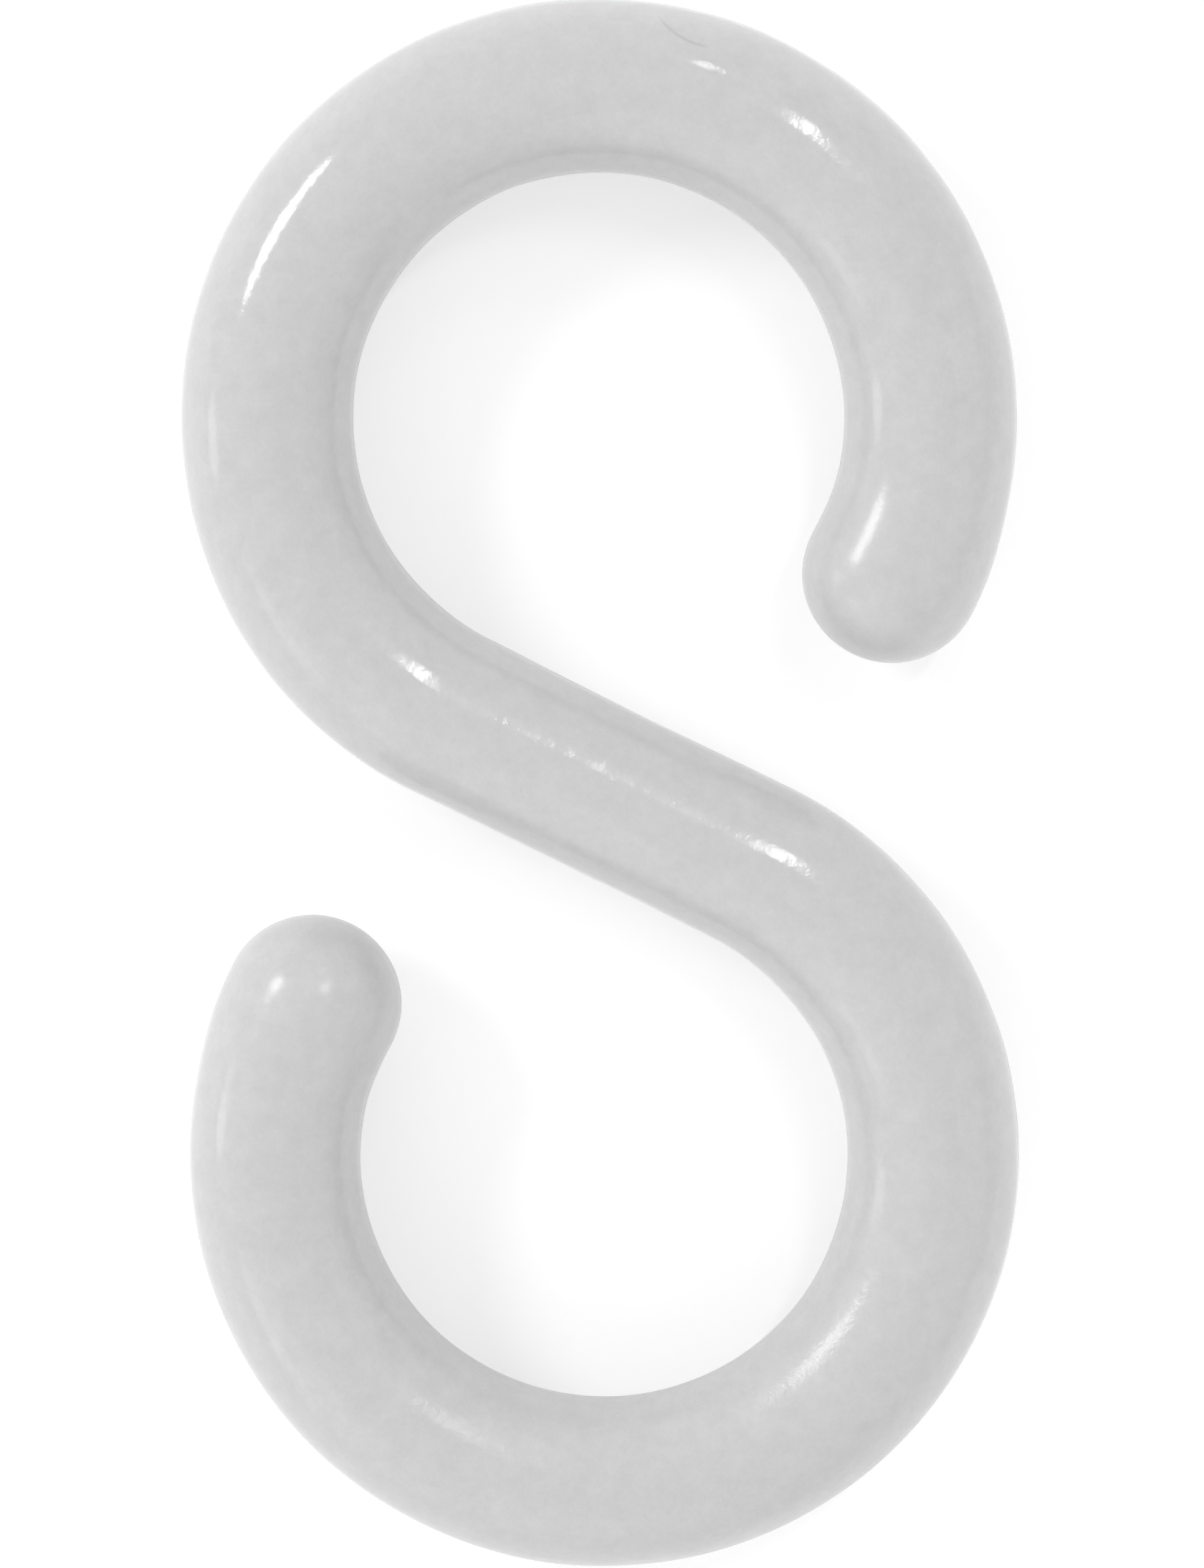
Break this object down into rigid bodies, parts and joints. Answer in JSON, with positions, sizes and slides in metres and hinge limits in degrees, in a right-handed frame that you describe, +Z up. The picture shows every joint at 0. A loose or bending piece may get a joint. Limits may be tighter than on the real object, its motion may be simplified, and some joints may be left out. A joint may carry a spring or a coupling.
{
  "type": "plastic chain hook",
  "caption": "S-shaped hook of round moulded plastic rod with an open eye at each end and ball-ended tips, for joining or hanging plastic barrier chain.",
  "frame": {"origin": "on the table under the middle of the straight shank, which is the middle of the whole outline", "axes": "+Y from the lower eye to the upper eye, the hook's length; +X across the eyes; +Z up from the table through the rod's thickness, as the hook lies flat"},
  "size_m": [0.039, 0.0736, 0.0083],
  "materials": {
    "moulded_plastic": "glossy as moulded, pale grey-white"
  },
  "bodies": {
    "root": {"chain_hook": "moulded_plastic"}
  },
  "joints": []
}
